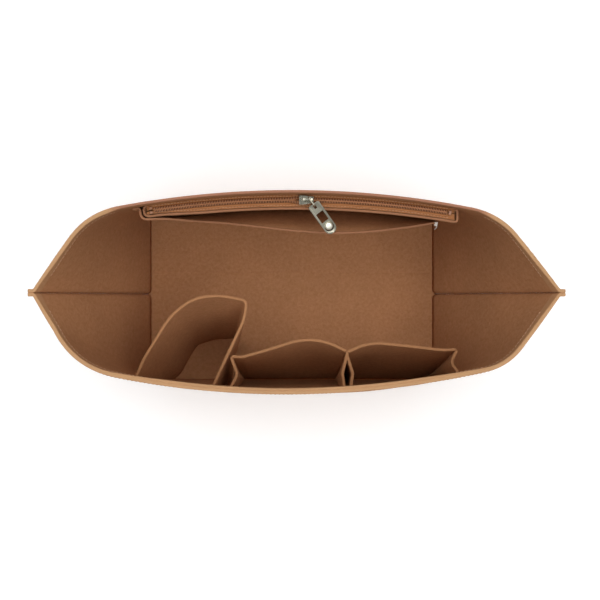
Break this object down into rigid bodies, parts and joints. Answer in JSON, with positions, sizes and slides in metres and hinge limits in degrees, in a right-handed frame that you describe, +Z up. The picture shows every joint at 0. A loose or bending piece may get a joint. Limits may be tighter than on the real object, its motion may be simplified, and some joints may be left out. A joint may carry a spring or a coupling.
{
  "type": "handbag organizer insert",
  "caption": "Felt organizer insert for a large handbag: open tub with folding ends, bottle loop, bellows pockets, slip pocket and a zipped pocket.",
  "frame": {"origin": "middle of the overall box, on the surface that the base rests on", "axes": "+Z up out of the mouth, +X along the length towards the end where the zip closes, -Y towards the wall with the bottle loop"},
  "size_m": [0.4368, 0.18, 0.1842],
  "materials": {
    "wall_felt": "pressed felt",
    "pocket_felt": "pressed felt",
    "zip_tape": "woven tape",
    "zip_coil": "satin",
    "metal": "polished nickel"
  },
  "bodies": {
    "insert": {"base_panel": "wall_felt", "front_panel": "wall_felt", "back_panel": "wall_felt", "bottle_pocket": "pocket_felt", "pocket_a_face": "pocket_felt", "pocket_a_gusset_left": "pocket_felt", "pocket_a_gusset_right": "pocket_felt", "pocket_b_face": "pocket_felt", "pocket_b_gusset_left": "pocket_felt", "pocket_b_gusset_right": "pocket_felt", "zip_pocket_panel": "pocket_felt", "slip_pocket_panel": "pocket_felt", "zip_tape_back": "zip_tape", "zip_tape_front": "zip_tape", "zip_coil_back": "zip_coil", "zip_coil_front": "zip_coil", "top_stop_back": "metal", "top_stop_front": "metal", "bottom_stop": "metal"},
    "slider": {"slider_body": "metal"},
    "link": {"pull_link": "metal"},
    "puller": {"pull_plate": "metal", "pull_stud": "metal"}
  },
  "joints": [
    {"name": "slider_travel", "type": "hinge", "parent": "insert", "child": "slider", "pos_m": [-0.0035, -0.70728, 0.17], "axis": [0, 0, 1], "range_deg": [-8, 8.6], "deforming": ["zip_coil_back", "zip_coil_front"]},
    {"name": "link_swing", "type": "hinge", "parent": "slider", "child": "link", "pos_m": [0.00981, 0.07486, 0.17695], "axis": [-0.7986, -0.6018, 0], "range_deg": [0, 90]},
    {"name": "plate_swing", "type": "hinge", "parent": "link", "child": "puller", "pos_m": [0.0128, 0.07089, 0.17643], "axis": [-0.7986, -0.6018, 0], "range_deg": [0, 39]}
  ]
}
